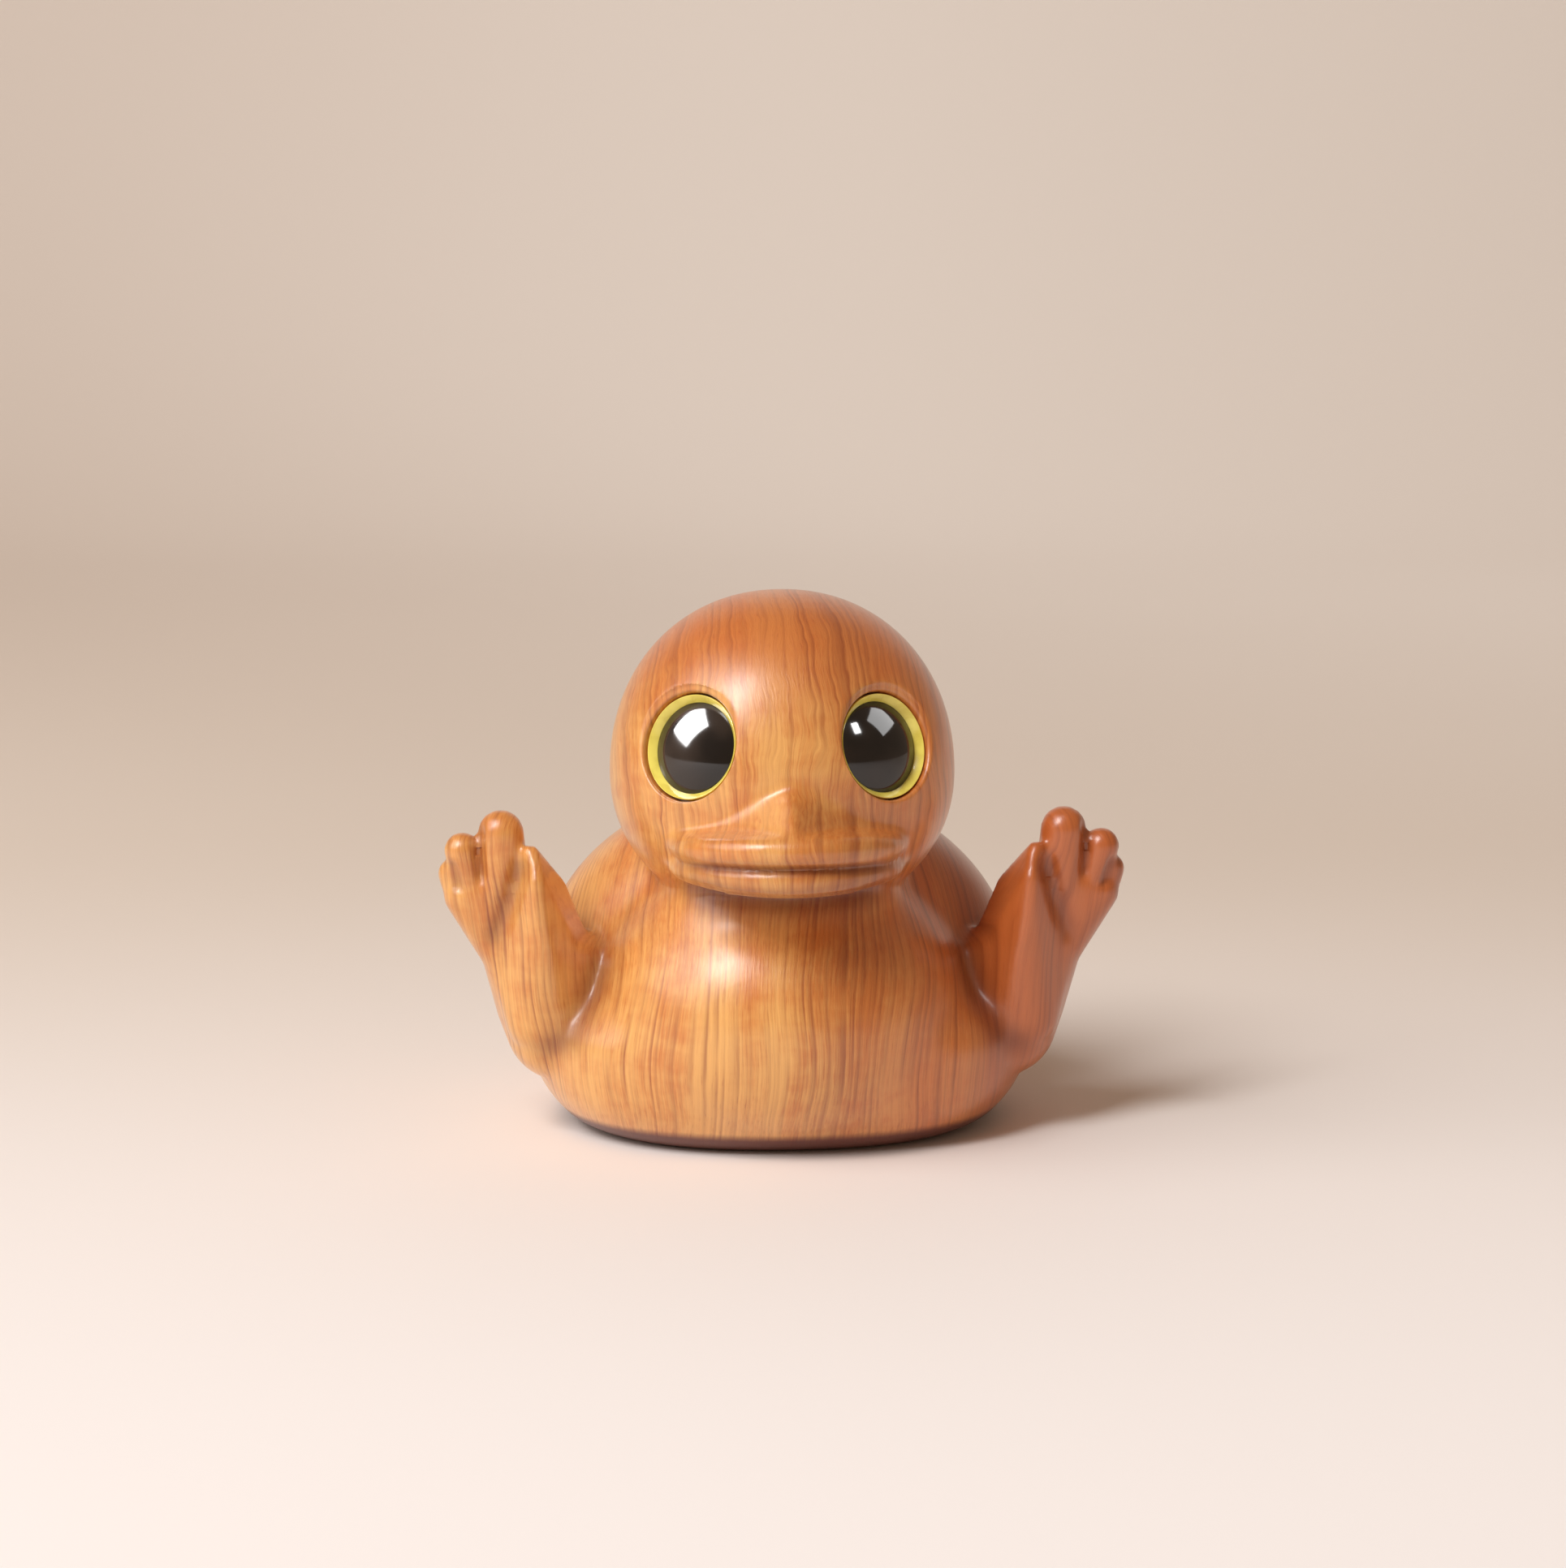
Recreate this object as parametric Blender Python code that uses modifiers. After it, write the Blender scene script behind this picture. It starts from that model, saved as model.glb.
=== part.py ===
"""A wooden duck carved from one block, with two raised wings that end in stubby fingers.

Each eye is a yellow bezel ring and a black glass cabochon, both set in a round socket.
Lengths are in metres. The duck faces -Y, its wings spread along X, and it stands on Z = 0.
Run it with: blender --background --python part.py
"""

import math
from collections import namedtuple

import bmesh
import bpy
from mathutils import Matrix, Vector

Ball = namedtuple("Ball", "x y z radius")
Egg = namedtuple("Egg", "centre half_width front back up down fullness")
Landmark = namedtuple("Landmark", "out forward rise radius")

# Keel: the low front of the boat-shaped hull, which carries the flat foot
KEEL = Egg(
    centre=Vector((0.0, 0.0, 0.0120)),
    half_width=0.0315,
    front=0.0262,
    back=0.0300,
    up=0.0085,
    down=0.0175,
    fullness=2.3,
)
# Back: the tall round lobe behind the head
BACK = Egg(
    centre=Vector((0.0, 0.0060, 0.0150)),
    half_width=0.0305,
    front=0.0220,
    back=0.0275,
    up=0.0255,
    down=0.0200,
    fullness=2.1,
)
# Chest: the full breast in front of the hull
CHEST = Egg(
    centre=Vector((0.0, -0.0060, 0.0135)),
    half_width=0.0236,
    front=0.0230,
    back=0.0200,
    up=0.0170,
    down=0.0160,
    fullness=2.4,
)
# Head: a round head, a little fuller at the cheeks
HEAD = Egg(
    centre=Vector((0.0, -0.0080, 0.0449)),
    half_width=0.0210,
    front=0.0210,
    back=0.0205,
    up=0.0220,
    down=0.0180,
    fullness=2.1,
)
NECK_HALF_WIDTH = 0.0145
NECK_DEPTH = 0.0150

# Tail: short and turned up, behind the hull
TAIL_ROOT_RADIUS = 0.0085
TAIL_TIP_RADIUS = 0.0022
TAIL_ROOT_HALF_WIDTH = 0.0065
TAIL_TIP_HALF_WIDTH = 0.0035
TAIL_REACH = 0.0032
TAIL_TIP_HEIGHT = 0.0365

# Bill: a gabled upper bill with a rounded lip, over a thinner lower bill
BILL_REACH = 0.0070
BILL_HALF_WIDTH = 0.0138
BILL_ROOT_RISE = 0.0012
RIDGE_DROP = 0.0049
EDGE_RADIUS = 0.0007
LIP_RADIUS = 0.0015
LIP_DROP = 0.0064
LOWER_LIP_RADIUS = 0.0016
LOWER_LIP_DROP = 0.0098
LOWER_LIP_INSET = 0.0018
# Each eave point: its share of the bill's half-width, and how far it is below the root
EAVES = ((0.55, 0.0032), (0.92, 0.0054))
# Each lip point: its share of the bill's half-width, and of the way back to the face
LIP_CURVE = ((0.45, 0.12), (0.78, 0.42))

# Wings: where the elbow is let into the hull's side
ELBOW_INSET = 0.0033
ELBOW_FORWARD = 0.0060
ELBOW_HEIGHT = 0.0165
ELBOW_RADIUS = 0.0072
# The landmarks of a wing, measured from its elbow
HEEL = Landmark(-0.0010, 0.0020, -0.0032, 0.0068)
FOREARM = Landmark(0.0034, 0.0020, 0.0070, 0.0055)
OUTER_KNUCKLE = Landmark(0.0102, 0.0035, 0.0135, 0.0029)
INNER_KNUCKLE = Landmark(0.0045, 0.0045, 0.0150, 0.0029)
# Each finger's root and tip
FINGERS = (
    (Landmark(0.0055, 0.0046, 0.0145, 0.0033), Landmark(0.0060, 0.0052, 0.0214, 0.0030)),
    (Landmark(0.0092, 0.0040, 0.0140, 0.0026), Landmark(0.0107, 0.0046, 0.0192, 0.0024)),
    (Landmark(0.0108, 0.0032, 0.0125, 0.0021), Landmark(0.0121, 0.0035, 0.0162, 0.0019)),
)
# The thumb's front ridge runs down from its tip, and its web runs in to the chest
THUMB_TIP = Landmark(0.0024, 0.0070, 0.0192, 0.0013)
THUMB_RIDGE = (
    Landmark(0.0016, 0.0088, 0.0170, 0.0013),
    Landmark(0.0014, 0.0090, 0.0130, 0.0013),
    Landmark(0.0000, 0.0086, 0.0070, 0.0020),
)
THUMB_WEB = (
    Landmark(-0.0006, 0.0045, 0.0150, 0.0013),
    Landmark(-0.0032, 0.0035, 0.0095, 0.0016),
    Landmark(-0.0074, 0.0030, 0.0045, 0.0027),
    Landmark(-0.0045, 0.0055, 0.0010, 0.0027),
)
THUMB_HEEL = (
    Landmark(0.0000, 0.0045, -0.0015, 0.0048),
    Landmark(0.0044, 0.0040, 0.0040, 0.0029),
)

# Eyes: turned to each side of the bill, and a little upwards
EYE_YAW = math.radians(36.8)
EYE_PITCH = math.radians(16.0)
SOCKET_RADIUS = 0.0065
SOCKET_DEPTH = 0.0030
BEZEL_WIDTH = 0.0007
BEZEL_LIP = 0.00015
BEZEL_SLOPE_DEPTH = 0.0011
GLASS_RISE = 0.0022
FIT_GAP = 0.0003

# Fineness of the carved surface
ROUGH_VOXEL = 0.0010
FINE_VOXEL = 0.0008
ROUGH_PASSES = 24
FINE_PASSES = 4
CARVED_FACES = 8200
ROUND_STEPS = 48
DOME_RINGS = 7

LEFT, RIGHT = -1, 1
SIDES = {"left": LEFT, "right": RIGHT}


def clear_scene():
    """Removes every object that the scene starts with."""
    for obj in list(bpy.data.objects):
        bpy.data.objects.remove(obj, do_unlink=True)


def make_collection(name):
    """Returns a new collection in the scene."""
    collection = bpy.data.collections.new(name)
    bpy.context.scene.collection.children.link(collection)
    return collection


def make_material(name, colour, roughness, coat=0.0):
    """Returns a Principled material with one colour and roughness."""
    material = bpy.data.materials.new(name)
    material.use_nodes = True
    shader = material.node_tree.nodes["Principled BSDF"]
    shader.inputs["Base Color"].default_value = (*colour, 1.0)
    shader.inputs["Roughness"].default_value = roughness
    shader.inputs["Metallic"].default_value = 0.0
    shader.inputs["Coat Weight"].default_value = coat
    return material


def make_object(name, mesh, collection, material=None):
    """Returns a new object that shows the mesh, in the collection."""
    obj = bpy.data.objects.new(name, mesh)
    collection.objects.link(obj)
    if material:
        mesh.materials.append(material)
    return obj


def hide_helper(obj):
    """Marks a cutter or guide, which is not a piece of the duck."""
    obj.hide_render = True
    obj.display_type = "WIRE"


def add_egg(bm, egg):
    """Adds a closed egg: a sphere with its own radius on each side of its centre."""
    made = bmesh.ops.create_uvsphere(bm, u_segments=64, v_segments=40, radius=1.0)
    for vert in made["verts"]:
        way = vert.co.normalized()
        reach = sum(abs(part) ** egg.fullness for part in way) ** (-1.0 / egg.fullness)
        depth = egg.front if way.y < 0.0 else egg.back
        height = egg.up if way.z > 0.0 else egg.down
        scaled = Vector((way.x * egg.half_width, way.y * depth, way.z * height))
        vert.co = egg.centre + scaled * reach


def add_pad(bm, balls):
    """Adds the tight skin around a few balls, as a rounded block with flat facets."""
    shell = bmesh.new()
    for ball in balls:
        place = Matrix.Translation((ball.x, ball.y, ball.z))
        bmesh.ops.create_uvsphere(
            shell, u_segments=20, v_segments=12, radius=ball.radius, matrix=place
        )
    skinned = bmesh.ops.convex_hull(shell, input=shell.verts[:])
    inside = {
        part
        for part in skinned["geom_interior"] + skinned["geom_unused"]
        if isinstance(part, bmesh.types.BMVert)
    }
    bmesh.ops.delete(shell, geom=list(inside), context="VERTS")
    bmesh.ops.recalc_face_normals(shell, faces=shell.faces[:])
    mesh = bpy.data.meshes.new("pad")
    shell.to_mesh(mesh)
    shell.free()
    bm.from_mesh(mesh)
    bpy.data.meshes.remove(mesh)


def mesh_of(bm, name):
    """Turns the bmesh into a mesh and frees it."""
    mesh = bpy.data.meshes.new(name)
    bm.to_mesh(mesh)
    bm.free()
    return mesh


def head_surface(x, z):
    """The Y of the face at this X and Z, on the front of the head."""
    height = HEAD.up if z > HEAD.centre.z else HEAD.down
    across = abs(x / HEAD.half_width) ** HEAD.fullness
    along = abs((z - HEAD.centre.z) / height) ** HEAD.fullness
    share = max(0.0, 1.0 - across - along) ** (1.0 / HEAD.fullness)
    return HEAD.centre.y - HEAD.front * share


def tail_balls():
    """The tail: a broad root in the hull's back, drawn out to a narrow turned-up tip."""
    back = BACK.centre.y + BACK.back
    root_z = BACK.centre.z + BACK.up * 0.4
    balls = []
    for side in (LEFT, RIGHT):
        balls += [
            Ball(
                side * TAIL_ROOT_HALF_WIDTH,
                back - TAIL_ROOT_RADIUS * 1.4,
                root_z,
                TAIL_ROOT_RADIUS,
            ),
            Ball(
                side * TAIL_TIP_HALF_WIDTH,
                back + TAIL_REACH - TAIL_TIP_RADIUS,
                TAIL_TIP_HEIGHT - TAIL_TIP_RADIUS,
                TAIL_TIP_RADIUS,
            ),
        ]
    return balls


def rough_body():
    """The hull, chest, neck and tail, as overlapping shells in one mesh."""
    bm = bmesh.new()
    add_egg(bm, KEEL)
    add_egg(bm, BACK)
    add_egg(bm, CHEST)
    chest_top = CHEST.centre.z + CHEST.up
    head_base = HEAD.centre.z - HEAD.down
    neck = Egg(
        centre=Vector((0.0, HEAD.centre.y, (chest_top + head_base) / 2)),
        half_width=NECK_HALF_WIDTH,
        front=NECK_DEPTH,
        back=NECK_DEPTH,
        up=HEAD.down,
        down=CHEST.up,
        fullness=2.5,
    )
    add_egg(bm, neck)
    add_pad(bm, tail_balls())
    return mesh_of(bm, "rough_body")


def lip_side_balls(tip_y, z, radius):
    """The balls that curve a lip back from its middle to its corner, on both sides."""
    corner_y = head_surface(BILL_HALF_WIDTH, z)
    front_y = tip_y + radius
    balls = []
    for side in (LEFT, RIGHT):
        for share, back in (*LIP_CURVE, (1.0, 1.0)):
            y = front_y + (corner_y - front_y) * back
            balls.append(Ball(side * BILL_HALF_WIDTH * share, y, z, radius))
    return balls


def upper_bill_balls():
    """The gabled upper bill: a ridge, two eaves on the face, and a rounded lip."""
    front = HEAD.centre.y - HEAD.front
    root_z = HEAD.centre.z + BILL_ROOT_RISE
    lip_z = HEAD.centre.z - LIP_DROP
    tip_y = front - BILL_REACH
    balls = [
        Ball(0.0, front + EDGE_RADIUS * 1.5, root_z, EDGE_RADIUS),
        Ball(0.0, tip_y + EDGE_RADIUS, root_z - RIDGE_DROP, EDGE_RADIUS),
        Ball(0.0, tip_y + LIP_RADIUS, lip_z, LIP_RADIUS),
    ]
    for side in (LEFT, RIGHT):
        for share, drop in EAVES:
            eave_x = BILL_HALF_WIDTH * share
            eave_z = root_z - drop
            eave_y = head_surface(eave_x, eave_z) + EDGE_RADIUS / 2
            balls.append(Ball(side * eave_x, eave_y, eave_z, EDGE_RADIUS))
    return balls + lip_side_balls(tip_y, lip_z, LIP_RADIUS)


def lower_bill_balls():
    """The lower bill: a thinner curved lip, set back a little under the upper one."""
    tip_y = HEAD.centre.y - HEAD.front - BILL_REACH + LOWER_LIP_INSET
    z = HEAD.centre.z - LOWER_LIP_DROP
    balls = [
        Ball(0.0, tip_y + LOWER_LIP_RADIUS, z, LOWER_LIP_RADIUS),
        Ball(0.0, HEAD.centre.y, z + LIP_RADIUS, LIP_RADIUS),
    ]
    return balls + lip_side_balls(tip_y, z, LOWER_LIP_RADIUS)


def elbow_place(side):
    """The centre of the elbow, let into the side of the hull."""
    return Vector(
        (
            side * (KEEL.half_width - ELBOW_INSET),
            KEEL.centre.y - ELBOW_FORWARD,
            ELBOW_HEIGHT,
        )
    )


def balls_from(elbow, side, landmarks):
    """The landmarks of one wing as balls, mirrored to its side."""
    return [
        Ball(elbow.x + side * mark.out, elbow.y - mark.forward, elbow.z + mark.rise, mark.radius)
        for mark in landmarks
    ]


def add_wing(bm, side):
    """Adds one raised wing: forearm, palm, three stubby fingers and a ridged thumb."""
    elbow = elbow_place(side)
    joint = Landmark(0.0, 0.0, 0.0, ELBOW_RADIUS)
    pads = [
        (joint, FOREARM, HEEL),
        (FOREARM, OUTER_KNUCKLE, INNER_KNUCKLE),
        (THUMB_TIP, *THUMB_RIDGE, *THUMB_WEB, *THUMB_HEEL),
        *FINGERS,
    ]
    for landmarks in pads:
        add_pad(bm, balls_from(elbow, side, landmarks))


def fine_forms():
    """The head, bill and wings, as overlapping shells in one mesh."""
    bm = bmesh.new()
    add_egg(bm, HEAD)
    add_pad(bm, upper_bill_balls())
    add_pad(bm, lower_bill_balls())
    for side in (LEFT, RIGHT):
        add_wing(bm, side)
    return mesh_of(bm, "fine_forms")


def add_remesh(obj, name, voxel):
    """Fuses overlapping shells into one skin of even faces."""
    remesh = obj.modifiers.new(name, "REMESH")
    remesh.mode = "VOXEL"
    remesh.voxel_size = voxel


def add_smooth(obj, name, passes):
    """Rubs the surface down, as sandpaper does."""
    smooth = obj.modifiers.new(name, "SMOOTH")
    smooth.factor = 0.5
    smooth.iterations = passes


def add_boolean(obj, name, other, operation):
    """Joins another mesh to the object, or cuts it away."""
    boolean = obj.modifiers.new(name, "BOOLEAN")
    boolean.operation = operation
    boolean.solver = "EXACT"
    boolean.object = other


def baked_mesh(obj):
    """The object's mesh with all its modifiers applied."""
    graph = bpy.context.evaluated_depsgraph_get()
    return bpy.data.meshes.new_from_object(obj.evaluated_get(graph))


def eye_frame(side):
    """Places an eye: the origin is the middle of the socket's rim, and +Z looks out."""
    way = Vector(
        (
            side * math.sin(EYE_YAW) * math.cos(EYE_PITCH),
            -math.cos(EYE_YAW) * math.cos(EYE_PITCH),
            math.sin(EYE_PITCH),
        )
    )
    reach = sum(
        abs(part / radius) ** HEAD.fullness
        for part, radius in zip(way, (HEAD.half_width, HEAD.front, HEAD.up))
    ) ** (-1.0 / HEAD.fullness)
    curve = (HEAD.half_width + HEAD.front) / 2
    rim_sink = curve - math.sqrt(curve**2 - SOCKET_RADIUS**2)
    place = HEAD.centre + way * (reach - rim_sink)
    return Matrix.Translation(place) @ way.to_track_quat("Z", "Y").to_matrix().to_4x4()


def make_socket_cutter(name, side, cutters):
    """A round cutter that drills the eye socket."""
    above = SOCKET_RADIUS
    bm = bmesh.new()
    bmesh.ops.create_cone(
        bm,
        cap_ends=True,
        segments=ROUND_STEPS,
        radius1=SOCKET_RADIUS,
        radius2=SOCKET_RADIUS,
        depth=SOCKET_DEPTH + above,
        matrix=Matrix.Translation((0.0, 0.0, (above - SOCKET_DEPTH) / 2)),
    )
    cutter = make_object(name, mesh_of(bm, name), cutters)
    cutter.matrix_world = eye_frame(side)
    hide_helper(cutter)
    return cutter


def make_floor_cutter(cutters):
    """A block whose top is the table, to cut the hull's flat foot."""
    size = 4 * KEEL.half_width
    bm = bmesh.new()
    bmesh.ops.create_cube(
        bm, size=size, matrix=Matrix.Translation((0.0, 0.0, -size / 2))
    )
    cutter = make_object("floor_cutter", mesh_of(bm, "floor_cutter"), cutters)
    hide_helper(cutter)
    return cutter


def carve_block(cutters):
    """The duck's blended surface before the foot and sockets are cut."""
    details = make_object("fine_forms", fine_forms(), cutters)
    add_remesh(details, "fuse", FINE_VOXEL)
    hide_helper(details)
    block = make_object("carved_block", rough_body(), cutters)
    add_remesh(block, "rough_out", ROUGH_VOXEL)
    add_smooth(block, "rasp", ROUGH_PASSES)
    add_boolean(block, "join_details", details, "UNION")
    add_remesh(block, "fuse", FINE_VOXEL)
    add_smooth(block, "sand", FINE_PASSES)
    hide_helper(block)
    return block


def make_duck_body(collection, cutters, wood):
    """The one carved piece of wood, with its flat foot and two eye sockets."""
    block = carve_block(cutters)
    body = make_object("duck_body", baked_mesh(block), collection, wood)
    facets = 2 * len(body.data.polygons)
    decimate = body.modifiers.new("facets", "DECIMATE")
    decimate.ratio = min(1.0, CARVED_FACES / facets)
    add_boolean(body, "flat_foot", make_floor_cutter(cutters), "DIFFERENCE")
    for label, side in SIDES.items():
        cutter = make_socket_cutter(f"socket_cutter_{label}", side, cutters)
        add_boolean(body, f"socket_{label}", cutter, "DIFFERENCE")
    body.data.shade_smooth()
    return body


def make_turned(name, profile, side, collection, material):
    """A turned piece, from a profile of (radius, height) points at +X, in an eye's frame."""
    mesh = bpy.data.meshes.new(name)
    points = [(radius, 0.0, height) for radius, height in profile]
    edges = [(i, i + 1) for i in range(len(points) - 1)]
    mesh.from_pydata(points, edges, [])
    obj = make_object(name, mesh, collection, material)
    screw = obj.modifiers.new("turn", "SCREW")
    screw.steps = ROUND_STEPS
    screw.render_steps = ROUND_STEPS
    screw.use_merge_vertices = True
    screw.merge_threshold = 0.00001
    screw.use_smooth_shade = True
    obj.matrix_world = eye_frame(side)
    return obj


def make_bezel(label, side, collection, enamel):
    """The yellow ring: its inner face slopes down from a thin lip to the glass."""
    outer = SOCKET_RADIUS - FIT_GAP
    bore = outer - BEZEL_WIDTH
    floor = FIT_GAP - SOCKET_DEPTH
    profile = [
        (outer - BEZEL_LIP, 0.0),
        (outer, 0.0),
        (outer, floor),
        (bore, floor),
        (bore, -BEZEL_SLOPE_DEPTH),
        (outer - BEZEL_LIP, 0.0),
    ]
    return make_turned(f"eye_bezel_{label}", profile, side, collection, enamel)


def make_glass(label, side, collection, glass):
    """The black cabochon: a flat back, a straight edge, and a dome above the slope's foot."""
    radius = SOCKET_RADIUS - FIT_GAP - BEZEL_WIDTH - FIT_GAP
    back = FIT_GAP - SOCKET_DEPTH
    apex = GLASS_RISE - BEZEL_SLOPE_DEPTH
    dome = (radius**2 + GLASS_RISE**2) / (2 * GLASS_RISE)
    half_angle = math.asin(radius / dome)
    profile = []
    for i in range(DOME_RINGS + 1):
        angle = half_angle * i / DOME_RINGS
        profile.append((dome * math.sin(angle), apex - dome * (1.0 - math.cos(angle))))
    profile += [(radius, back), (0.0, back)]
    return make_turned(f"eye_glass_{label}", profile, side, collection, glass)


def main():
    """Builds the duck and its four eye pieces."""
    clear_scene()
    duck = make_collection("wooden_duck")
    cutters = make_collection("cutters")
    wood = make_material("oiled_wood", (0.62, 0.27, 0.09), 0.32, coat=0.4)
    enamel = make_material("yellow_enamel", (0.75, 0.62, 0.10), 0.25)
    glass = make_material("black_glass", (0.012, 0.010, 0.008), 0.06)
    make_duck_body(duck, cutters, wood)
    for label, side in SIDES.items():
        make_bezel(label, side, duck, enamel)
        make_glass(label, side, duck, glass)


main()
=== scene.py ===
"""The finished look of a wooden duck, carved from one block, with set-in glass eyes.

The body is modelled from eggs and rounded pads that are fused, sanded and carved. It is
dressed in an oiled wood with upright growth rings. Each eye is a yellow enamel ring round a
black cabochon. Lengths are in metres, the duck faces -Y, and it stands on Z = 0.
"""

import logging
import math
from collections.abc import Iterator, Sequence
from contextlib import contextmanager
from dataclasses import dataclass
from enum import Enum

import bpy
import numpy as np
from mathutils import Matrix, Vector


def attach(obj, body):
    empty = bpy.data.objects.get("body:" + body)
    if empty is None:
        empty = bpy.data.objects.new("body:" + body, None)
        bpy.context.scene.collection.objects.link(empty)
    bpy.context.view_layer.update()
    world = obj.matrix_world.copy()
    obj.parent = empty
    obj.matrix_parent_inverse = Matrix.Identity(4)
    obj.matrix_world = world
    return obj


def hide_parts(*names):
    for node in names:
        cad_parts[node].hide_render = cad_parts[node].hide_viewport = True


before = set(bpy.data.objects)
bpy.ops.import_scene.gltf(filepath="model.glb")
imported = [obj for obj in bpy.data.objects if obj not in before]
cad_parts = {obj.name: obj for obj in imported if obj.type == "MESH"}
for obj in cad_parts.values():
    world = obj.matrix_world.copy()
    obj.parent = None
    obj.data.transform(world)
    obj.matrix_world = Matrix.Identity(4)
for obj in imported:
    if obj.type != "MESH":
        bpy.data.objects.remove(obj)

log = logging.getLogger("duck")
BODY = "root"

Obj = bpy.types.Object
Mesh = bpy.types.Mesh
Material = bpy.types.Material
Socket = bpy.types.NodeSocket
Point = tuple[float, float, float]
Line = tuple[tuple[float, float], ...]
Colour = tuple[float, ...]


class Side(Enum):
    """A side of the duck, with its sign along X."""

    LEFT = -1
    RIGHT = 1


def select_only(*objects: Obj) -> None:
    """Selects the given objects alone, and makes the first of them active."""
    bpy.ops.object.select_all(action="DESELECT")
    for obj in objects:
        obj.select_set(True)
    bpy.context.view_layer.objects.active = objects[0]


@contextmanager
def editing(obj: Obj, keep_selection: bool = False) -> Iterator[None]:
    """Holds an object in edit mode.

    Args:
        obj: The mesh object to edit.
        keep_selection: Whether the faces chosen before stay selected in face mode.
    """
    select_only(obj)
    if keep_selection:
        bpy.context.tool_settings.mesh_select_mode = (False, False, True)
    bpy.ops.object.mode_set(mode="EDIT")
    yield
    bpy.ops.object.mode_set(mode="OBJECT")


def add_modifier(obj: Obj, name: str, kind: str, **settings: object) -> None:
    """Adds a modifier to the object and sets its properties."""
    modifier = obj.modifiers.new(name, kind)
    for key, value in settings.items():
        setattr(modifier, key, value)


def apply_modifiers(obj: Obj) -> None:
    """Applies every modifier of the object, from first to last."""
    select_only(obj)
    for modifier in list(obj.modifiers):
        bpy.ops.object.modifier_apply(modifier=modifier.name)


def join(name: str, objects: Sequence[Obj]) -> Obj:
    """Joins objects into one.

    Args:
        name: The joined object's name.
        objects: The objects, which are used up.

    Returns:
        The joined object.
    """
    select_only(*objects)
    bpy.ops.object.join()
    joined = bpy.context.object
    joined.name = name
    return joined


def refine(obj: Obj, near: np.ndarray) -> None:
    """Splits the chosen faces once, so that fine cuts come out clean."""
    obj.data.polygons.foreach_set("select", near)
    with editing(obj, keep_selection=True):
        bpy.ops.mesh.select_mode(type="FACE")
        bpy.ops.mesh.subdivide(number_cuts=1, smoothness=0.0)


def faces_of(mesh: Mesh) -> tuple[np.ndarray, np.ndarray]:
    """Returns the centres and the normals of the mesh's faces."""
    centres = np.array([polygon.center for polygon in mesh.polygons])
    normals = np.array([polygon.normal for polygon in mesh.polygons])
    return centres, normals


def points_of(mesh: Mesh) -> np.ndarray:
    """Returns the mesh's vertex places as rows of X, Y and Z."""
    flat = np.empty(len(mesh.vertices) * 3)
    mesh.vertices.foreach_get("co", flat)
    return flat.reshape(-1, 3)


def normals_of(mesh: Mesh) -> np.ndarray:
    """Returns the mesh's vertex normals as rows of X, Y and Z."""
    flat = np.empty(len(mesh.vertices) * 3)
    mesh.vertex_normals.foreach_get("vector", flat)
    return flat.reshape(-1, 3)


def move_points(mesh: Mesh, points: np.ndarray) -> None:
    """Moves the mesh's vertices to the given places."""
    mesh.vertices.foreach_set("co", points.ravel())
    mesh.update()


def unit(values: np.ndarray) -> np.ndarray:
    """Keeps values between 0 and 1."""
    return np.clip(values, 0.0, 1.0)


def direction(turn: float, rise: float) -> Vector:
    """The unit vector at an angle from the duck's front and an angle above the table."""
    return Vector(
        (math.sin(turn) * math.cos(rise), -math.cos(turn) * math.cos(rise), math.sin(rise))
    )


@dataclass(frozen=True)
class Egg:
    """A closed egg with its own radius on each side of its centre."""

    centre: Point
    half_width: float
    front: float
    back: float
    up: float
    down: float
    fullness: float

    def build(self, name: str) -> Obj:
        """Models the egg from a sphere whose points are drawn out to its radii."""
        bpy.ops.mesh.primitive_uv_sphere_add(segments=160, ring_count=96, radius=1.0)
        obj = bpy.context.object
        obj.name = name
        way = points_of(obj.data)
        power = self.fullness
        reach = (np.abs(way) ** power).sum(axis=1) ** (-1.0 / power)
        depth = np.where(way[:, 1] < 0.0, self.front, self.back)
        height = np.where(way[:, 2] > 0.0, self.up, self.down)
        radii = np.column_stack((np.full(len(way), self.half_width), depth, height))
        move_points(obj.data, way * radii * reach[:, None] + np.array(self.centre))
        return obj

    def face_y(self, x: float, z: float) -> float:
        """The Y of the egg's front at this X and Z."""
        height = self.up if z > self.centre[2] else self.down
        across = abs(x / self.half_width) ** self.fullness
        along = abs((z - self.centre[2]) / height) ** self.fullness
        share = max(0.0, 1.0 - across - along) ** (1.0 / self.fullness)
        return self.centre[1] - self.front * share

    def reach(self, way: Vector) -> float:
        """How far the egg's upper front goes from its centre, along a unit vector."""
        radii = (self.half_width, self.front, self.up)
        total = sum(abs(part / radius) ** self.fullness for part, radius in zip(way, radii))
        return total ** (-1.0 / self.fullness)


@dataclass(frozen=True)
class Ball:
    """A round corner of a pad."""

    x: float
    y: float
    z: float
    radius: float


@dataclass(frozen=True)
class Landmark:
    """A round corner that is placed from a wing's elbow."""

    out: float
    forward: float
    rise: float
    radius: float


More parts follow.
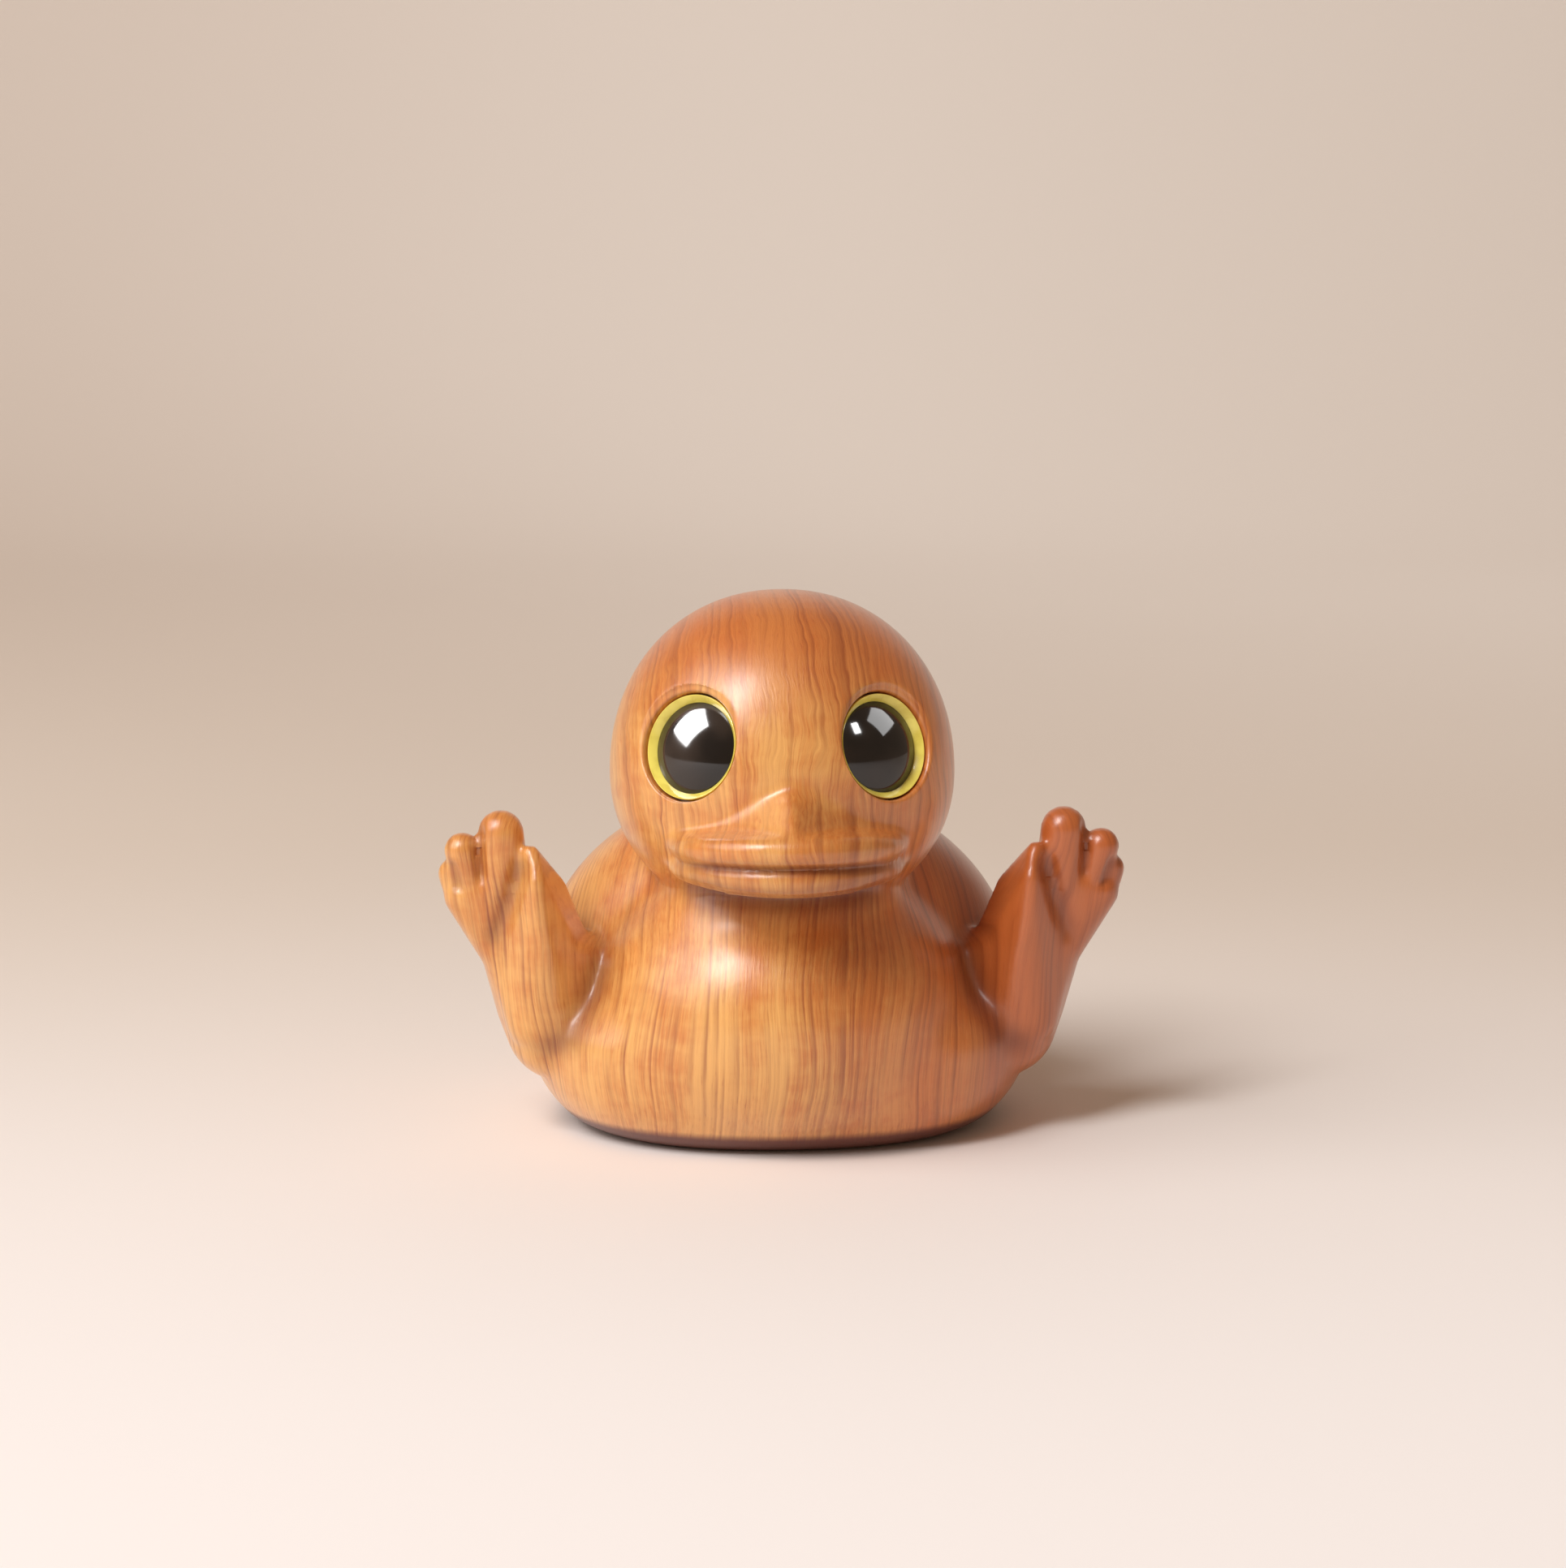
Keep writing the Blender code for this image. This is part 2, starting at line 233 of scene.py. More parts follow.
@dataclass(frozen=True)
class Pad:
    """A rounded block with flat facets: the tight skin around a few balls."""

    balls: tuple[Ball, ...]

    def build(self, name: str) -> Obj:
        """Models the pad by adding its balls and wrapping them in a convex hull."""
        bpy.ops.mesh.primitive_uv_sphere_add(segments=8, ring_count=4, radius=0.0001)
        obj = bpy.context.object
        obj.name = name
        with editing(obj):
            bpy.ops.mesh.delete(type="VERT")
            for ball in self.balls:
                bpy.ops.mesh.primitive_uv_sphere_add(
                    segments=32,
                    ring_count=18,
                    radius=ball.radius,
                    location=(ball.x, ball.y, ball.z),
                )
            bpy.ops.mesh.select_all(action="SELECT")
            bpy.ops.mesh.convex_hull()
            bpy.ops.mesh.normals_make_consistent(inside=False)
        return obj


@dataclass(frozen=True)
class Hull:
    """The lower body: a low keel, a tall back, a full chest, the neck and the tail."""

    keel: Egg = Egg((0.0, 0.0, 0.0120), 0.0315, 0.0262, 0.0300, 0.0085, 0.0175, 2.3)
    back: Egg = Egg((0.0, 0.0060, 0.0150), 0.0305, 0.0220, 0.0275, 0.0255, 0.0200, 2.1)
    chest: Egg = Egg((0.0, -0.0060, 0.0147), 0.0236, 0.0234, 0.0200, 0.0195, 0.0170, 2.15)
    neck_half_width: float = 0.0145
    neck_depth: float = 0.0150
    neck_fullness: float = 2.5
    tail_root_radius: float = 0.0085
    tail_tip_radius: float = 0.0022
    tail_root_half_width: float = 0.0065
    tail_tip_half_width: float = 0.0035
    tail_root_rise: float = 0.4
    tail_root_inset: float = 1.4
    tail_reach: float = 0.0032
    tail_tip_height: float = 0.0365
    voxel: float = 0.0010
    rasp_passes: int = 24

    def neck(self, head: Egg) -> Egg:
        """The neck, which runs from the chest up into the head."""
        chest_top = self.chest.centre[2] + self.chest.up
        head_base = head.centre[2] - head.down
        return Egg(
            (0.0, head.centre[1], (chest_top + head_base) / 2),
            self.neck_half_width,
            self.neck_depth,
            self.neck_depth,
            head.down,
            self.chest.up,
            self.neck_fullness,
        )

    def tail(self) -> Pad:
        """The short tail, drawn out and up from the back."""
        back_y = self.back.centre[1] + self.back.back
        root_z = self.back.centre[2] + self.back.up * self.tail_root_rise
        root_y = back_y - self.tail_root_radius * self.tail_root_inset
        tip_y = back_y + self.tail_reach - self.tail_tip_radius
        tip_z = self.tail_tip_height - self.tail_tip_radius
        balls = []
        for side in Side:
            root_x = side.value * self.tail_root_half_width
            tip_x = side.value * self.tail_tip_half_width
            balls.append(Ball(root_x, root_y, root_z, self.tail_root_radius))
            balls.append(Ball(tip_x, tip_y, tip_z, self.tail_tip_radius))
        return Pad(tuple(balls))

    def build(self, head: Egg) -> Obj:
        """Fuses the masses and rubs them down until they flow into each other."""
        masses = [
            self.keel.build("keel"),
            self.back.build("back"),
            self.chest.build("chest"),
            self.neck(head).build("neck"),
            self.tail().build("tail"),
        ]
        hull = join("hull", masses)
        add_modifier(hull, "rough_out", "REMESH", mode="VOXEL", voxel_size=self.voxel)
        add_modifier(hull, "rasp", "SMOOTH", factor=0.5, iterations=self.rasp_passes)
        add_modifier(hull, "skin", "SUBSURF", levels=1, render_levels=1)
        apply_modifiers(hull)
        return hull


@dataclass(frozen=True)
class Groove:
    """A valley that a gouge leaves along a line on the front of the duck.

    The line's points are X and Z. The depth is taken off along the surface's normal.
    """

    path: Line
    width: float
    depth: float
    back_limit: float
    end_fade: float = 0.22
    full_facing: float = 0.35

    def cut(self, points: np.ndarray, normals: np.ndarray) -> np.ndarray:
        """Returns how far each point is sunk by the gouge.

        Args:
            points: The skin's points.
            normals: The skin's normals there.

        Returns:
            One depth for each point.
        """
        flat = points[:, (0, 2)]
        nearest = np.full(len(points), 1.0)
        length = sum(math.dist(a, b) for a, b in zip(self.path, self.path[1:]))
        travelled = 0.0
        fade = np.zeros(len(points))
        for start, end in zip(self.path, self.path[1:]):
            first, step = np.array(start), np.array(end) - np.array(start)
            span = float(np.linalg.norm(step))
            share = unit(((flat - first) @ step) / span**2)
            gap = np.linalg.norm(flat - first - share[:, None] * step, axis=1)
            along = (travelled + share * span) / length
            ends = unit(np.minimum(along, 1.0 - along) / self.end_fade)
            closer = gap < nearest
            nearest = np.where(closer, gap, nearest)
            fade = np.where(closer, ends, fade)
            travelled += span
        facing = unit(-normals[:, 1] / self.full_facing)
        facing *= points[:, 1] < self.back_limit
        smooth_ends = fade * fade * (3.0 - 2.0 * fade)
        return self.depth * np.exp(-((nearest / self.width) ** 2)) * facing * smooth_ends

    def mirrored(self, side: Side) -> "Groove":
        """The same valley on the given side."""
        path = tuple((side.value * x, z) for x, z in self.path)
        return Groove(path, self.width, self.depth, self.back_limit)


@dataclass(frozen=True)
class Bill:
    """A gabled upper bill over a rounded lip, and a full lower lip."""

    head: Egg
    reach: float = 0.0081
    half_width: float = 0.0134
    root_rise: float = -0.0004
    root_reach: float = 0.0028
    ridge_reach: float = 0.0073
    ridge_drop: float = 0.0036
    root_sink: float = 0.0025
    eave_sink: tuple[float, float] = (0.6, 0.7)
    edge_radius: float = 0.0006
    lip_radius: float = 0.0019
    lip_drop: float = 0.0053
    crest_drop: float = 0.0050
    lip_taper: float = 0.45
    corner_sink: float = 0.7
    corner_drop: float = 0.0012
    lower_lip_radius: float = 0.0019
    lower_lip_drop: float = 0.0091
    lower_lip_inset: float = 0.0009
    lower_corner_drop: float = 0.0004
    eaves: Line = ((0.55, 0.0032), (0.92, 0.0054))
    foot: Point = (0.0122, -0.0250, 0.0398)
    lip_curve: Line = (
        (0.12, 0.005), (0.25, 0.027), (0.40, 0.085), (0.55, 0.18),
        (0.70, 0.31), (0.83, 0.48), (0.93, 0.69), (1.0, 1.0),
    )
    chin_crease: Line = (
        (-0.0150, 0.0345), (-0.0080, 0.0327), (0.0, 0.0322), (0.0080, 0.0327), (0.0150, 0.0345)
    )
    mouth_depth: float = 0.0007
    mouth_width: float = 0.00055
    mouth_band: float = 0.0016
    mouth_end: float = 1.05
    refined_end: float = 1.12
    cheek_limit: float = 0.0030
    band_margins: tuple[float, float] = (0.0025, 0.0012)

    @property
    def front(self) -> float:
        """The Y of the head's front."""
        return self.head.centre[1] - self.head.front

    @property
    def tip_y(self) -> float:
        """The Y of the upper lip's front."""
        return self.front - self.reach

    def lip_sides(self, tip_y: float, z: float, radius: float, drop: float) -> list[Ball]:
        """The balls that curve a lip back and a little down, from its middle to both corners."""
        corner_y = self.head.face_y(self.half_width, z) + radius * self.corner_sink
        front_y = tip_y + radius
        return [
            Ball(
                side.value * self.half_width * share,
                front_y + (corner_y - front_y) * back,
                z - drop * back,
                radius * (1.0 - self.lip_taper * back),
            )
            for side in Side
            for share, back in self.lip_curve
        ]

    def gable(self) -> Pad:
        """The gable: a ridge between two facets, whose upper edges die into the head."""
        root_z = self.head.centre[2] + self.root_rise
        edge = self.edge_radius
        sink_y, sink_z = (self.root_sink * share for share in self.eave_sink)
        balls = [
            Ball(0.0, self.front - self.root_reach + edge, root_z, edge),
            Ball(0.0, self.front + self.root_sink, root_z + sink_z, edge),
            Ball(0.0, self.front - self.ridge_reach + edge, root_z - self.ridge_drop, edge),
            Ball(0.0, self.head.centre[1], root_z - self.ridge_drop, edge),
        ]
        for side in Side:
            for share, drop in self.eaves:
                x, z = self.half_width * share, root_z - drop
                y = self.head.face_y(x, z) + edge + sink_y
                balls.append(Ball(side.value * x, y, z + sink_z, edge))
            x, y, z = self.foot
            balls.append(Ball(side.value * x, y + edge, z, edge))
        return Pad(tuple(balls))

    def upper_lip(self) -> Pad:
        """The upper lip, which stands out under the gable like a sill."""
        z = self.head.centre[2] - self.lip_drop
        crest_z = self.head.centre[2] - self.crest_drop
        balls = [
            Ball(0.0, self.tip_y + self.lip_radius, z, self.lip_radius),
            Ball(0.0, self.front, crest_z, self.lip_radius),
            Ball(0.0, self.head.centre[1], crest_z, self.lip_radius),
        ]
        sides = self.lip_sides(self.tip_y, z, self.lip_radius, self.corner_drop)
        return Pad(tuple(balls + sides))

    def lower_lip(self) -> Pad:
        """The lower lip: a full roll, set back a little under the upper one."""
        tip_y = self.tip_y + self.lower_lip_inset
        z = self.head.centre[2] - self.lower_lip_drop
        radius = self.lower_lip_radius
        balls = [
            Ball(0.0, tip_y + radius, z, radius),
            Ball(0.0, self.head.centre[1], z + self.lip_radius, self.lip_radius),
        ]
        return Pad(tuple(balls + self.lip_sides(tip_y, z, radius, self.lower_corner_drop)))

    def lip_band(self) -> tuple[float, float]:
        """The heights between which the lips lie."""
        below, above = self.band_margins
        low = self.head.centre[2] - self.lower_lip_drop - self.lower_lip_radius - below
        return low, self.head.centre[2] - self.crest_drop + above

    def mouth_line(self, across: np.ndarray) -> np.ndarray:
        """The height of the line between the lips, at a share of the half width."""
        upper = self.head.centre[2] - self.lip_drop - self.lip_radius
        lower = self.head.centre[2] - self.lower_lip_drop + self.lower_lip_radius
        shares = [0.0] + [share for share, _ in self.lip_curve]
        backs = [0.0] + [back for _, back in self.lip_curve]
        return (upper + lower) / 2 - self.corner_drop * np.interp(across, shares, backs)

    def carve_mouth(self, body: Obj) -> None:
        """Refines the skin between the lips and cuts the mouth line into it."""
        limit_y = self.head.face_y(self.half_width, self.head.centre[2]) + self.cheek_limit
        centres, _ = faces_of(body.data)
        across = np.abs(centres[:, 0]) / self.half_width
        near = (
            (np.abs(centres[:, 2] - self.mouth_line(across)) < self.mouth_band)
            & (centres[:, 1] < limit_y)
            & (across < self.refined_end)
        )
        refine(body, near)
        points = points_of(body.data)
        across = np.abs(points[:, 0]) / self.half_width
        fade = unit((self.mouth_end - across) / 0.40)
        gap = points[:, 2] - self.mouth_line(across)
        groove = np.exp(-((gap / self.mouth_width) ** 2))
        depth = self.mouth_depth * groove * fade * (points[:, 1] < limit_y)
        inwards = np.column_stack(
            (-points[:, 0], self.head.centre[1] - points[:, 1], np.zeros(len(points)))
        )
        inwards /= np.linalg.norm(inwards, axis=1)[:, None] + 1e-9
        move_points(body.data, points + inwards * depth[:, None])


@dataclass(frozen=True)
class Wing:
    """A raised wing: a forearm and palm, three stubby fingers and a ridged thumb."""

    side: Side
    elbow: Point = (0.0282, -0.0060, 0.0165)
    joint: Landmark = Landmark(0.0, 0.0, 0.0, 0.0072)
    heel: Landmark = Landmark(-0.0010, 0.0020, -0.0032, 0.0068)
    forearm: Landmark = Landmark(0.0034, 0.0020, 0.0070, 0.0055)
    outer_knuckle: Landmark = Landmark(0.0102, 0.0035, 0.0135, 0.0029)
    inner_knuckle: Landmark = Landmark(0.0045, 0.0045, 0.0150, 0.0029)
    fingers: tuple[tuple[Landmark, Landmark], ...] = (
        (Landmark(0.0055, 0.0046, 0.0145, 0.0030), Landmark(0.0060, 0.0052, 0.0214, 0.0028)),
        (Landmark(0.0092, 0.0040, 0.0140, 0.0024), Landmark(0.0107, 0.0046, 0.0192, 0.0022)),
        (Landmark(0.0108, 0.0032, 0.0125, 0.0019), Landmark(0.0121, 0.0035, 0.0162, 0.0017)),
    )
    thumb: tuple[Landmark, ...] = (
        Landmark(0.0024, 0.0074, 0.0192, 0.0011),
        Landmark(0.0017, 0.0096, 0.0165, 0.0010),
        Landmark(0.0015, 0.0098, 0.0130, 0.0010),
        Landmark(0.0008, 0.0092, 0.0085, 0.0014),
        Landmark(-0.0006, 0.0030, 0.0143, 0.0012),
        Landmark(-0.0028, 0.0018, 0.0080, 0.0014),
        Landmark(-0.0045, 0.0025, -0.0010, 0.0026),
        Landmark(0.0010, 0.0045, -0.0015, 0.0048),
        Landmark(0.0044, 0.0040, 0.0040, 0.0029),
    )
    web: tuple[Landmark, ...] = (
        Landmark(0.0008, 0.0088, 0.0080, 0.0012),
        Landmark(-0.0022, 0.0016, 0.0080, 0.0014),
        Landmark(-0.0074, 0.0006, 0.0040, 0.0024),
        Landmark(-0.0045, 0.0025, -0.0010, 0.0026),
        Landmark(0.0010, 0.0045, -0.0015, 0.0048),
    )
    valleys: tuple[tuple[Line, float, float], ...] = (
        (((0.0033, 0.0200), (0.0033, 0.0183), (0.0047, 0.0150), (0.0055, 0.0123),
          (0.0067, 0.0092), (0.0072, 0.0060)), 0.0011, 0.0008),
        (((0.0083, 0.0235), (0.0087, 0.0208), (0.0086, 0.0183), (0.0084, 0.0150)), 0.0006, 0.0005),
        (((0.0122, 0.0185), (0.0114, 0.0165), (0.0108, 0.0140)), 0.0005, 0.0004),
    )
    back_margin: float = 0.004
    root_path: Line = (
        (0.0030, -0.0066), (0.0004, -0.0046), (-0.0020, -0.0030), (-0.0042, 0.0004),
        (-0.0054, 0.0032), (-0.0061, 0.0061), (-0.0075, 0.0092),
    )

    def pad(self, marks: Sequence[Landmark]) -> Pad:
        """The pad around some landmarks, on this wing's side."""
        x, y, z = self.elbow
        return Pad(
            tuple(
                Ball(self.side.value * (x + mark.out), y - mark.forward, z + mark.rise, mark.radius)
                for mark in marks
            )
        )

    def groove(
        self, path: Sequence[tuple[float, float]], width: float, depth: float
    ) -> Groove:
        """A valley along points that are placed from the elbow."""
        x, y, z = self.elbow
        line = tuple((x + out, z + rise) for out, rise in path)
        return Groove(line, width, depth, y + self.back_margin).mirrored(self.side)

    def grooves(self) -> list[Groove]:
        """The gouged valleys of the palm and the fingers."""
        return [self.groove(*valley) for valley in self.valleys]

    def build(self) -> list[Obj]:
        """Models the wing's parts, which overlap."""
        groups = (
            ("arm", (self.joint, self.forearm, self.heel)),
            ("palm", (self.forearm, self.outer_knuckle, self.inner_knuckle)),
            ("thumb", self.thumb),
            ("web", self.web),
            *(("finger", marks) for marks in self.fingers),
        )
        return [self.pad(marks).build(name) for name, marks in groups]


@dataclass(frozen=True)
class SetEye:
    """A round socket with a yellow ring and a black cabochon let into it."""

    side: Side
    head: Egg
    yaw: float = math.radians(36.8)
    pitch: float = math.radians(15.5)
    socket_radius: float = 0.0065
    socket_depth: float = 0.0030
    rim_flare: float = 0.0008
    ring_gap: float = 0.00025
    ring_sink: float = 0.0008
    ring_width: float = 0.00080
    ring_lip: float = 0.00007
    slope_depth: float = 0.0009
    glass_gap: float = 0.00004
    glass_rise: float = 0.0018
    seat_gap: float = 0.0003
    steps: int = 128
    rim_steps: int = 6
    rim_overlap: float = 0.00002
    cutter_margin: float = 0.0004
    dome_steps: int = 24
    pole_radius: float = 0.0000001

    def frame(self) -> Matrix:
        """Places the eye: the origin is the middle of the rim, and +Z looks out."""
        way = direction(self.side.value * self.yaw, self.pitch)
        curve = (self.head.half_width + self.head.front) / 2
        rim_sink = curve - math.sqrt(curve**2 - self.socket_radius**2)
        place = Vector(self.head.centre) + way * (self.head.reach(way) - rim_sink)
        return Matrix.Translation(place) @ way.to_track_quat("Z", "Y").to_matrix().to_4x4()

    def turn(self, name: str, profile: Sequence[tuple[float, float]]) -> Obj:
        """Turns a closed piece by extruding a circle along its profile.

        Args:
            name: The piece's name.
            profile: Radius and height of each step. A radius of 0 closes an end.

        Returns:
            The piece, in the eye's place.
        """
        radius, height = profile[0]
        now = radius or self.pole_radius
        bpy.ops.mesh.primitive_circle_add(
            vertices=self.steps, radius=now, location=(0.0, 0.0, 0.0), fill_type="NOTHING"
        )
        obj = bpy.context.object
        obj.name = name
        bpy.context.tool_settings.mesh_select_mode = (False, True, False)
        with editing(obj):
            bpy.ops.mesh.select_all(action="SELECT")
            bpy.ops.transform.translate(value=(0.0, 0.0, height))
            for radius, level in profile[1:]:
                step = Vector((0.0, 0.0, level - height))
                bpy.ops.mesh.extrude_region_move(TRANSFORM_OT_translate={"value": step})
                share = (radius or self.pole_radius) / now
                bpy.ops.transform.resize(
                    value=(share, share, 1.0), center_override=(0.0, 0.0, level)
                )
                now, height = radius or self.pole_radius, level
            bpy.ops.mesh.select_all(action="SELECT")
            bpy.ops.mesh.remove_doubles(threshold=0.000002)
            bpy.ops.mesh.normals_make_consistent(inside=False)
        obj.matrix_world = self.frame()
        select_only(obj)
        bpy.ops.object.transform_apply(location=True, rotation=True, scale=True)
        bpy.ops.object.shade_smooth_by_angle(angle=math.radians(40))
        return obj

    def socket_cutter(self) -> Obj:
        """The cutter of the socket, which also rounds the socket's rim."""
        radius, flare = self.socket_radius, self.rim_flare
        curve = (self.head.half_width + self.head.front) / 2
        rounding = []
        for i in range(self.rim_steps + 1):
            angle = math.radians(90 * i / self.rim_steps)
            out = radius + flare * (1 - math.cos(angle))
            fall = (out**2 - radius**2) / (2 * curve)
            rounding.append((out, flare * (math.sin(angle) - 1.0) - fall - self.rim_overlap))
        profile = [
            (0.0, -self.socket_depth),
            (radius, -self.socket_depth),
            *rounding,
            (rounding[-1][0] + self.cutter_margin, self.socket_depth),
            (0.0, self.socket_depth),
        ]
        return self.turn(f"socket_{self.side.name.lower()}", profile)

    def build_ring(self) -> Obj:
        """The yellow ring: a thin rounded lip, and an inner face that slopes to the glass."""
        outer = self.socket_radius - self.ring_gap
        bore = outer - self.ring_width
        floor = self.seat_gap - self.socket_depth
        top = -self.ring_sink
        lip = self.ring_lip
        profile = [
            (outer, floor),
            (outer, top - lip),
            (outer - lip * 0.3, top - lip * 0.3),
            (outer - lip, top),
            (outer - lip * 1.7, top - lip * 0.4),
            (bore + lip, top - self.slope_depth + lip),
            (bore, top - self.slope_depth),
            (bore, floor),
            (outer, floor),
        ]
        return self.turn(f"ring_{self.side.name.lower()}", profile)

    def build_glass(self) -> Obj:
        """The black cabochon: a flat back, a straight edge and a low dome."""
        radius = self.socket_radius - self.ring_gap - self.ring_width - self.glass_gap
        back = self.seat_gap - self.socket_depth
        base = -self.ring_sink - self.slope_depth
        dome = (radius**2 + self.glass_rise**2) / (2 * self.glass_rise)
        half_angle = math.asin(min(1.0, radius / dome))
        profile = [(0.0, back), (radius, back)]
        for i in range(self.dome_steps + 1):
            angle = half_angle * (1 - i / self.dome_steps)
            height = base + self.glass_rise - dome * (1 - math.cos(angle))
            profile.append((dome * math.sin(angle) if i < self.dome_steps else 0.0, height))
        return self.turn(f"glass_{self.side.name.lower()}", profile)


@dataclass
class Duck:
    """The carved body, with its sizes for fusing, sanding and cutting."""

    head: Egg = Egg((0.0, -0.0080, 0.0449), 0.0210, 0.0210, 0.0205, 0.0220, 0.0180, 2.1)
    hull: Hull = Hull()
    voxel: float = 0.0005
    sand_passes: int = 3
    lip_passes: int = 26
    gable_share: float = 0.4
    gable_reach: float = 0.006
    lip_fades: tuple[float, float] = (0.002, 0.0015)
    face_depth: float = 0.013
    face_fade: float = 0.003
    rim_passes: int = 14
    rim_start: tuple[float, float] = (0.0002, 0.0003)
    rim_end: tuple[float, float] = (0.0024, 0.0008)
    rim_height: float = 0.003
    foot_radius: float = 0.0020
    # The height of the band of painted shadow along the foot.
    foot_band: float = 0.0031
    root_passes: int = 40
    root_width: float = 0.0036
    root_strength: float = 1.5
    chin_width: float = 0.0018
    chin_depth: float = 0.0011
    chin_limit: float = -0.0150
    # Painted shade: how much the palm valleys, the wing roots, the shadow under the chin, the mouth
    # line and the shadow along the foot are darkened.
    palm_shade: tuple[float, float] = (1.2, 0.45)
    root_shade: tuple[float, float] = (0.0017, 0.7)
    chin_shadow: tuple[float, float] = (0.0028, 1.0)
    mouth_shade: tuple[float, float] = (0.0007, 0.7)
    mouth_reach: float = 0.010
    foot_shadow: float = 1.35
    foot_fade: float = 0.0010

    def __post_init__(self) -> None:
        """Gives the head its bill, its wings and its two eyes."""
        self.bill = Bill(self.head)
        self.wings = [Wing(side) for side in Side]
        self.eyes = [SetEye(side, self.head) for side in Side]

    def fuse(self) -> Obj:
        """Fuses the hull, head, bill and wings into one skin, and sands it."""
        parts = [
            self.hull.build(self.head),
            self.head.build("head"),
            self.bill.gable().build("gable"),
            self.bill.upper_lip().build("upper_lip"),
            self.bill.lower_lip().build("lower_lip"),
        ]
        for wing in self.wings:
            parts += wing.build()
        body = join("carved_duck", parts)
        add_modifier(body, "fuse", "REMESH", mode="VOXEL", voxel_size=self.voxel)
        add_modifier(body, "sand", "SMOOTH", factor=0.5, iterations=self.sand_passes)
        apply_modifiers(body)
        return body

    def chin(self, width: float, depth: float) -> Groove:
        """The crease under the chin, at this width and depth."""
        return Groove(self.bill.chin_crease, width, depth, self.chin_limit)

    def creases(self) -> list[Groove]:
        """The valleys of the palms and the crease under the chin."""
        grooves = [groove for wing in self.wings for groove in wing.grooves()]
        grooves.append(self.chin(self.chin_width, self.chin_depth))
        return grooves

    def gouge(self, body: Obj) -> None:
        """Carves the creases."""
        points, normals = points_of(body.data), normals_of(body.data)
        depth = sum(groove.cut(points, normals) for groove in self.creases())
        move_points(body.data, points - normals * depth[:, None])

    def paint_crease_shade(self, body: Obj) -> None:
        """Marks where painted shade darkens the skin: the palm valleys, the roots of the wings, the
        shadow under the chin, the mouth line and the shadow along the foot.
        """
        points, normals = points_of(body.data), normals_of(body.data)
        palms = [groove for wing in self.wings for groove in wing.grooves()]
        spread, palm_share = self.palm_shade
        shaded_creases = [
            Groove(palm.path, palm.width * spread, palm_share, palm.back_limit) for palm in palms
        ]
        shaded_creases += [wing.groove(wing.root_path, *self.root_shade) for wing in self.wings]
        shaded_creases.append(self.chin(*self.chin_shadow))
        amount = sum(groove.cut(points, normals) for groove in shaded_creases)
        mouth_width, mouth_share = self.mouth_shade
        across = np.abs(points[:, 0]) / self.bill.half_width
        gap = np.abs(points[:, 2] - self.bill.mouth_line(across)) / mouth_width
        mouth = np.exp(-(gap**2)) * unit((self.bill.mouth_end - across) / 0.3)
        mouth *= points[:, 1] < self.bill.front + self.mouth_reach
        # A band of painted shadow where the foot meets the table.
        foot = unit((self.foot_band - points[:, 2]) / self.foot_fade)
        amount = np.maximum(amount + mouth_share * mouth, self.foot_shadow * foot)
        layer = body.data.attributes.new("patina", "FLOAT", "POINT")
        layer.data.foreach_set("value", np.clip(amount, 0.0, self.foot_shadow))

    def round_foot(self, body: Obj) -> None:
        """Draws the skin in towards the table, so that the foot has a rounded edge."""
        points = points_of(body.data)
        radius = self.foot_radius
        low = unit((radius - points[:, 2]) / radius)
        draw = radius * (1.0 - np.sqrt(1.0 - low**2))
        out = np.hypot(points[:, 0], points[:, 1]) + 1e-9
        points[:, :2] *= (1.0 - np.minimum(draw / out, 0.5))[:, None]
        move_points(body.data, points)

    def saw_and_drill(self, body: Obj) -> None:
        """Saws the underside flat on the table, and drills the two eye sockets."""
        bpy.ops.mesh.primitive_cube_add(
            size=1.0, location=(0.0, 0.0, -0.01), scale=(0.2, 0.2, 0.02)
        )
        saw = bpy.context.object
        cutter = join("cutters", [saw] + [eye.socket_cutter() for eye in self.eyes])
        cut = {"operation": "DIFFERENCE", "solver": "EXACT", "object": cutter}
        add_modifier(body, "cutters", "BOOLEAN", **cut)
        apply_modifiers(body)
        bpy.data.objects.remove(cutter, do_unlink=True)

    def rub(self, body: Obj, amount: np.ndarray, passes: int) -> None:
        """Rubs part of the skin down.

        Args:
            body: The carved body.
            amount: How much each point takes part, 0 to 1.
            passes: How often the skin is rubbed.
        """
        group = body.vertex_groups.new(name="rubbed")
        for i in np.nonzero(amount > 0.01)[0]:
            group.add([int(i)], float(amount[i]), "REPLACE")
        settings = {"factor": 0.5, "iterations": passes, "vertex_group": group.name}
        add_modifier(body, "rub", "SMOOTH", **settings)
        apply_modifiers(body)
        body.vertex_groups.remove(body.vertex_groups["rubbed"])

    def soften(self, body: Obj) -> None:
        """Rubs the lips down, so that they melt into the cheeks, and the roots of the wings."""
        points = points_of(body.data)
        low, high = self.bill.lip_band()
        low_fade, high_fade = self.lip_fades
        lips = unit((points[:, 2] - low) / low_fade)
        lips *= unit((high - points[:, 2]) / high_fade)
        gable = (points[:, 2] >= high - high_fade) & (points[:, 2] < high + self.gable_reach)
        lips = np.maximum(lips, self.gable_share * gable)
        lips *= unit((self.bill.front + self.face_depth - points[:, 1]) / self.face_fade)
        self.rub(body, lips, self.lip_passes)
        points, normals = points_of(body.data), normals_of(body.data)
        roots = [
            wing.groove(wing.root_path, self.root_width, self.root_strength) for wing in self.wings
        ]
        amount = sum(root.cut(points, normals) for root in roots)
        self.rub(body, unit(amount), self.root_passes)

